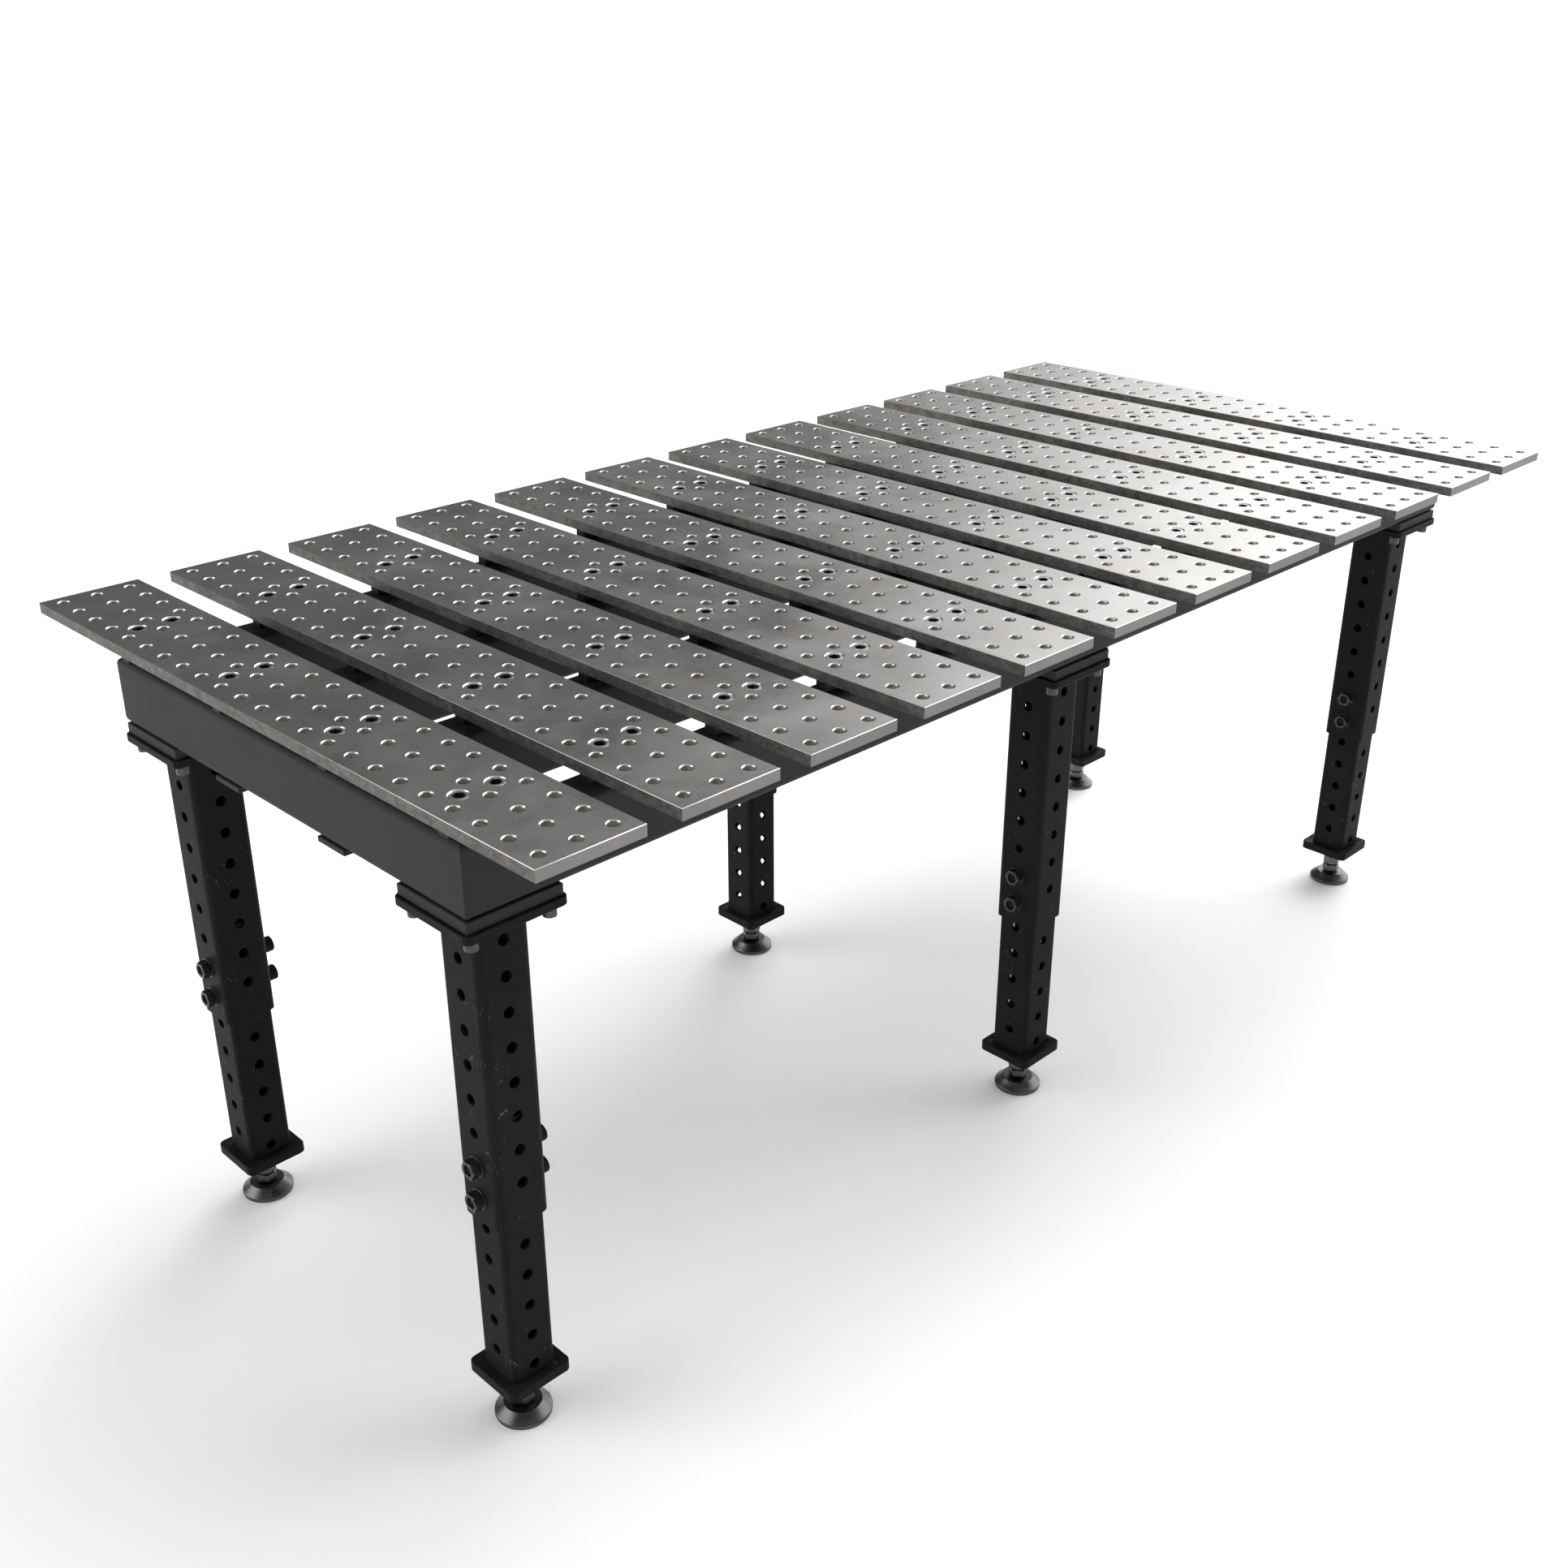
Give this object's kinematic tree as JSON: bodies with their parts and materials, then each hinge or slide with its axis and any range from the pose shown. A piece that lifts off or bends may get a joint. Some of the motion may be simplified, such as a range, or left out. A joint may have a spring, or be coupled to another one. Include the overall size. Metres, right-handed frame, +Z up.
{
  "type": "welding table",
  "caption": "Heavy slatted steel welding table: perforated plates on a tube frame with telescopic pinned legs and screw levelling feet.",
  "frame": {"origin": "on the floor, under the middle of the table", "axes": "+X along the table, +Y across it along the slats, +Z up"},
  "size_m": [2.3876, 1.1684, 0.971],
  "materials": {
    "slat_steel": "ground raw steel, satin",
    "screw_steel": "satin steel",
    "frame_paint": "fine-texture dark grey powder coat",
    "leg_paint": "satin near-black coating",
    "bolt_steel": "black oxide steel",
    "foot_steel": "dark semi-gloss steel"
  },
  "bodies": {
    "table_frame": {"slat_01": "slat_steel", "slat_02": "slat_steel", "slat_03": "slat_steel", "slat_04": "slat_steel", "slat_05": "slat_steel", "slat_06": "slat_steel", "slat_07": "slat_steel", "slat_08": "slat_steel", "slat_09": "slat_steel", "slat_10": "slat_steel", "slat_11": "slat_steel", "slat_12": "slat_steel", "slat_screws": "screw_steel", "slat_spacers": "frame_paint", "left_end_tube": "frame_paint", "right_end_tube": "frame_paint", "front_side_tube": "frame_paint", "rear_side_tube": "frame_paint", "front_inner_beam": "frame_paint", "rear_inner_beam": "frame_paint", "front_crosspiece": "frame_paint", "centre_crosspiece": "frame_paint", "rear_crosspiece": "frame_paint", "beam_joint_plates": "frame_paint", "leg_mount_plates": "frame_paint", "leg_flanges": "leg_paint", "flange_screws": "bolt_steel", "leg_bolts": "bolt_steel", "leg_bolt_nuts": "bolt_steel", "leg_bolt_washers": "bolt_steel", "upper_leg_left_front": "leg_paint", "upper_leg_left_rear": "leg_paint", "upper_leg_middle_front": "leg_paint", "upper_leg_middle_rear": "leg_paint", "upper_leg_right_front": "leg_paint", "upper_leg_right_rear": "leg_paint"},
    "lower_leg_left_front": {"lower_leg_left_front": "leg_paint", "jam_nut_left_front": "foot_steel"},
    "foot_pad_left_front": {"foot_pad_left_front": "foot_steel"},
    "foot_stud_left_front": {"foot_stud_left_front": "foot_steel"},
    "lower_leg_left_rear": {"lower_leg_left_rear": "leg_paint", "jam_nut_left_rear": "foot_steel"},
    "foot_pad_left_rear": {"foot_pad_left_rear": "foot_steel"},
    "foot_stud_left_rear": {"foot_stud_left_rear": "foot_steel"},
    "lower_leg_middle_front": {"lower_leg_middle_front": "leg_paint", "jam_nut_middle_front": "foot_steel"},
    "foot_pad_middle_front": {"foot_pad_middle_front": "foot_steel"},
    "foot_stud_middle_front": {"foot_stud_middle_front": "foot_steel"},
    "lower_leg_middle_rear": {"lower_leg_middle_rear": "leg_paint", "jam_nut_middle_rear": "foot_steel"},
    "foot_pad_middle_rear": {"foot_pad_middle_rear": "foot_steel"},
    "foot_stud_middle_rear": {"foot_stud_middle_rear": "foot_steel"},
    "lower_leg_right_front": {"lower_leg_right_front": "leg_paint", "jam_nut_right_front": "foot_steel"},
    "foot_pad_right_front": {"foot_pad_right_front": "foot_steel"},
    "foot_stud_right_front": {"foot_stud_right_front": "foot_steel"},
    "lower_leg_right_rear": {"lower_leg_right_rear": "leg_paint", "jam_nut_right_rear": "foot_steel"},
    "foot_pad_right_rear": {"foot_pad_right_rear": "foot_steel"},
    "foot_stud_right_rear": {"foot_stud_right_rear": "foot_steel"}
  },
  "joints": [
    {"name": "leg_height_left_front", "type": "slide", "parent": "table_frame", "child": "lower_leg_left_front", "axis": [0, 0, 1], "range_m": [-0.0508, 0.254]},
    {"name": "foot_lift_left_front", "type": "slide", "parent": "lower_leg_left_front", "child": "foot_pad_left_front", "axis": [0, 0, 1], "range_m": [-0.04, 0]},
    {"name": "stud_turn_left_front", "type": "hinge", "parent": "foot_pad_left_front", "child": "foot_stud_left_front", "pos_m": [-1.0984, -0.341, 0.05], "axis": [0, 0, 1], "range_deg": [-5774, 14]},
    {"name": "leg_height_left_rear", "type": "slide", "parent": "table_frame", "child": "lower_leg_left_rear", "axis": [0, 0, 1], "range_m": [-0.0508, 0.254]},
    {"name": "foot_lift_left_rear", "type": "slide", "parent": "lower_leg_left_rear", "child": "foot_pad_left_rear", "axis": [0, 0, 1], "range_m": [-0.04, 0]},
    {"name": "stud_turn_left_rear", "type": "hinge", "parent": "foot_pad_left_rear", "child": "foot_stud_left_rear", "pos_m": [-1.0984, 0.341, 0.05], "axis": [0, 0, 1], "range_deg": [-5774, 14]},
    {"name": "leg_height_middle_front", "type": "slide", "parent": "table_frame", "child": "lower_leg_middle_front", "axis": [0, 0, 1], "range_m": [-0.0508, 0.254]},
    {"name": "foot_lift_middle_front", "type": "slide", "parent": "lower_leg_middle_front", "child": "foot_pad_middle_front", "axis": [0, 0, 1], "range_m": [-0.04, 0]},
    {"name": "stud_turn_middle_front", "type": "hinge", "parent": "foot_pad_middle_front", "child": "foot_stud_middle_front", "pos_m": [0, -0.341, 0.05], "axis": [0, 0, 1], "range_deg": [-5774, 14]},
    {"name": "leg_height_middle_rear", "type": "slide", "parent": "table_frame", "child": "lower_leg_middle_rear", "axis": [0, 0, 1], "range_m": [-0.0508, 0.254]},
    {"name": "foot_lift_middle_rear", "type": "slide", "parent": "lower_leg_middle_rear", "child": "foot_pad_middle_rear", "axis": [0, 0, 1], "range_m": [-0.04, 0]},
    {"name": "stud_turn_middle_rear", "type": "hinge", "parent": "foot_pad_middle_rear", "child": "foot_stud_middle_rear", "pos_m": [0, 0.341, 0.05], "axis": [0, 0, 1], "range_deg": [-5774, 14]},
    {"name": "leg_height_right_front", "type": "slide", "parent": "table_frame", "child": "lower_leg_right_front", "axis": [0, 0, 1], "range_m": [-0.0508, 0.254]},
    {"name": "foot_lift_right_front", "type": "slide", "parent": "lower_leg_right_front", "child": "foot_pad_right_front", "axis": [0, 0, 1], "range_m": [-0.04, 0]},
    {"name": "stud_turn_right_front", "type": "hinge", "parent": "foot_pad_right_front", "child": "foot_stud_right_front", "pos_m": [1.0984, -0.341, 0.05], "axis": [0, 0, 1], "range_deg": [-5774, 14]},
    {"name": "leg_height_right_rear", "type": "slide", "parent": "table_frame", "child": "lower_leg_right_rear", "axis": [0, 0, 1], "range_m": [-0.0508, 0.254]},
    {"name": "foot_lift_right_rear", "type": "slide", "parent": "lower_leg_right_rear", "child": "foot_pad_right_rear", "axis": [0, 0, 1], "range_m": [-0.04, 0]},
    {"name": "stud_turn_right_rear", "type": "hinge", "parent": "foot_pad_right_rear", "child": "foot_stud_right_rear", "pos_m": [1.0984, 0.341, 0.05], "axis": [0, 0, 1], "range_deg": [-5774, 14]}
  ],
  "couplings": [
    {"joint": "stud_turn_left_front", "follows": "foot_lift_left_front", "rad_per_m": 2513.3},
    {"joint": "stud_turn_left_rear", "follows": "foot_lift_left_rear", "rad_per_m": 2513.3},
    {"joint": "stud_turn_middle_front", "follows": "foot_lift_middle_front", "rad_per_m": 2513.3},
    {"joint": "stud_turn_middle_rear", "follows": "foot_lift_middle_rear", "rad_per_m": 2513.3},
    {"joint": "stud_turn_right_front", "follows": "foot_lift_right_front", "rad_per_m": 2513.3},
    {"joint": "stud_turn_right_rear", "follows": "foot_lift_right_rear", "rad_per_m": 2513.3}
  ]
}
